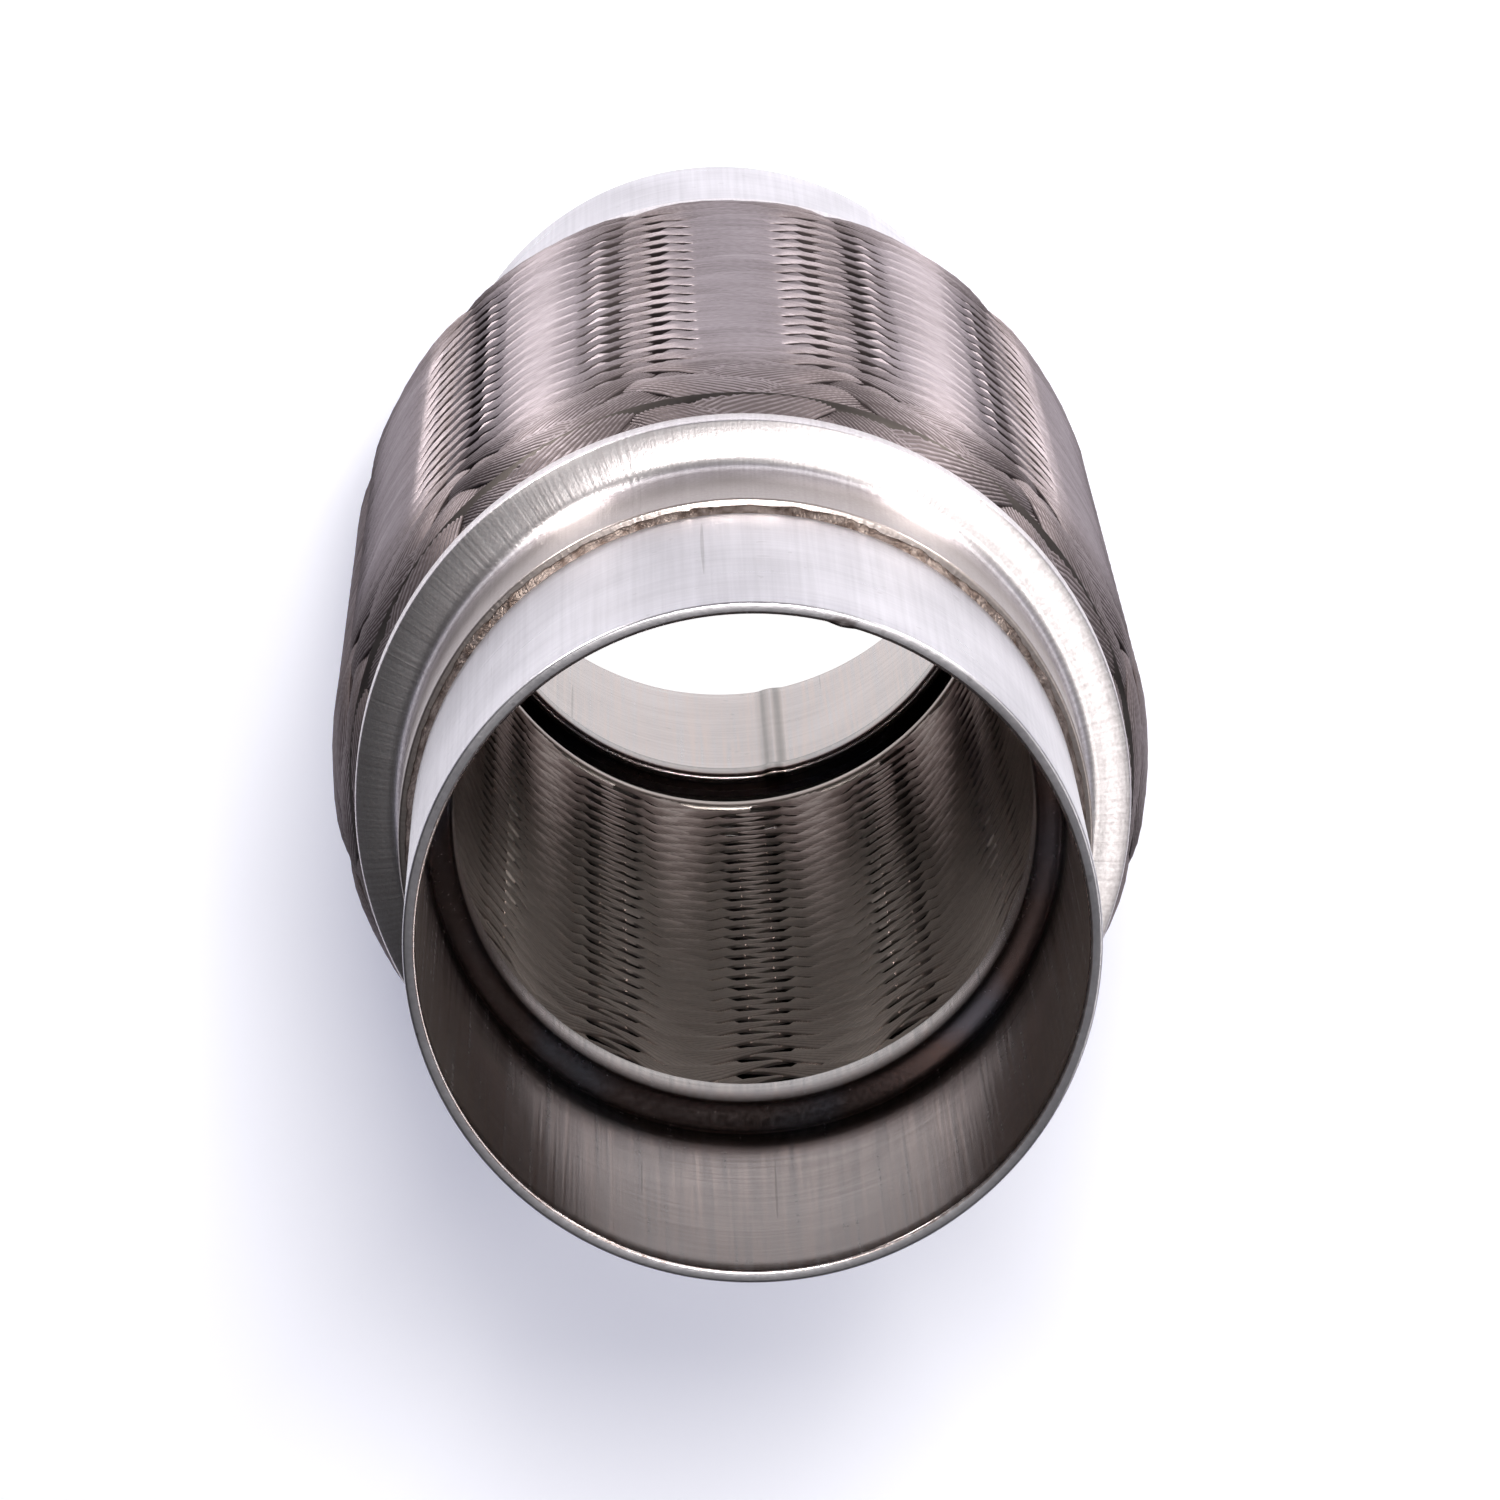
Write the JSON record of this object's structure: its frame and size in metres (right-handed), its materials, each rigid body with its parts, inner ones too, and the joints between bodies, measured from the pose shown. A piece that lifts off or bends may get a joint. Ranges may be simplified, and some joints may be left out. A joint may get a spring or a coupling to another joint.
{
  "type": "exhaust flex pipe",
  "caption": "Flexible exhaust pipe section: plain tube ends, spun caps and a woven wire sleeve over a corrugated bellows with a woven liner.",
  "frame": {"origin": "centre of the outlet end face, on the pipe's axis", "axes": "+Z along the pipe's axis, from the outlet end to the inlet end"},
  "size_m": [0.0806, 0.0806, 0.254],
  "materials": {
    "tube_steel": "drawn, satin",
    "cap_steel": "spun, satin",
    "braid_wire": "drawn wire, woven",
    "liner_wire": "drawn wire, woven, darker",
    "bellows_steel": "formed sheet",
    "weld_metal": "as welded"
  },
  "bodies": {
    "root": {"inlet_nipple": "tube_steel", "outlet_nipple": "tube_steel", "inlet_cap": "cap_steel", "outlet_cap": "cap_steel", "inlet_weld": "weld_metal", "outlet_weld": "weld_metal", "outer_braid": "braid_wire", "inner_braid": "liner_wire", "bellows": "bellows_steel"}
  },
  "joints": []
}
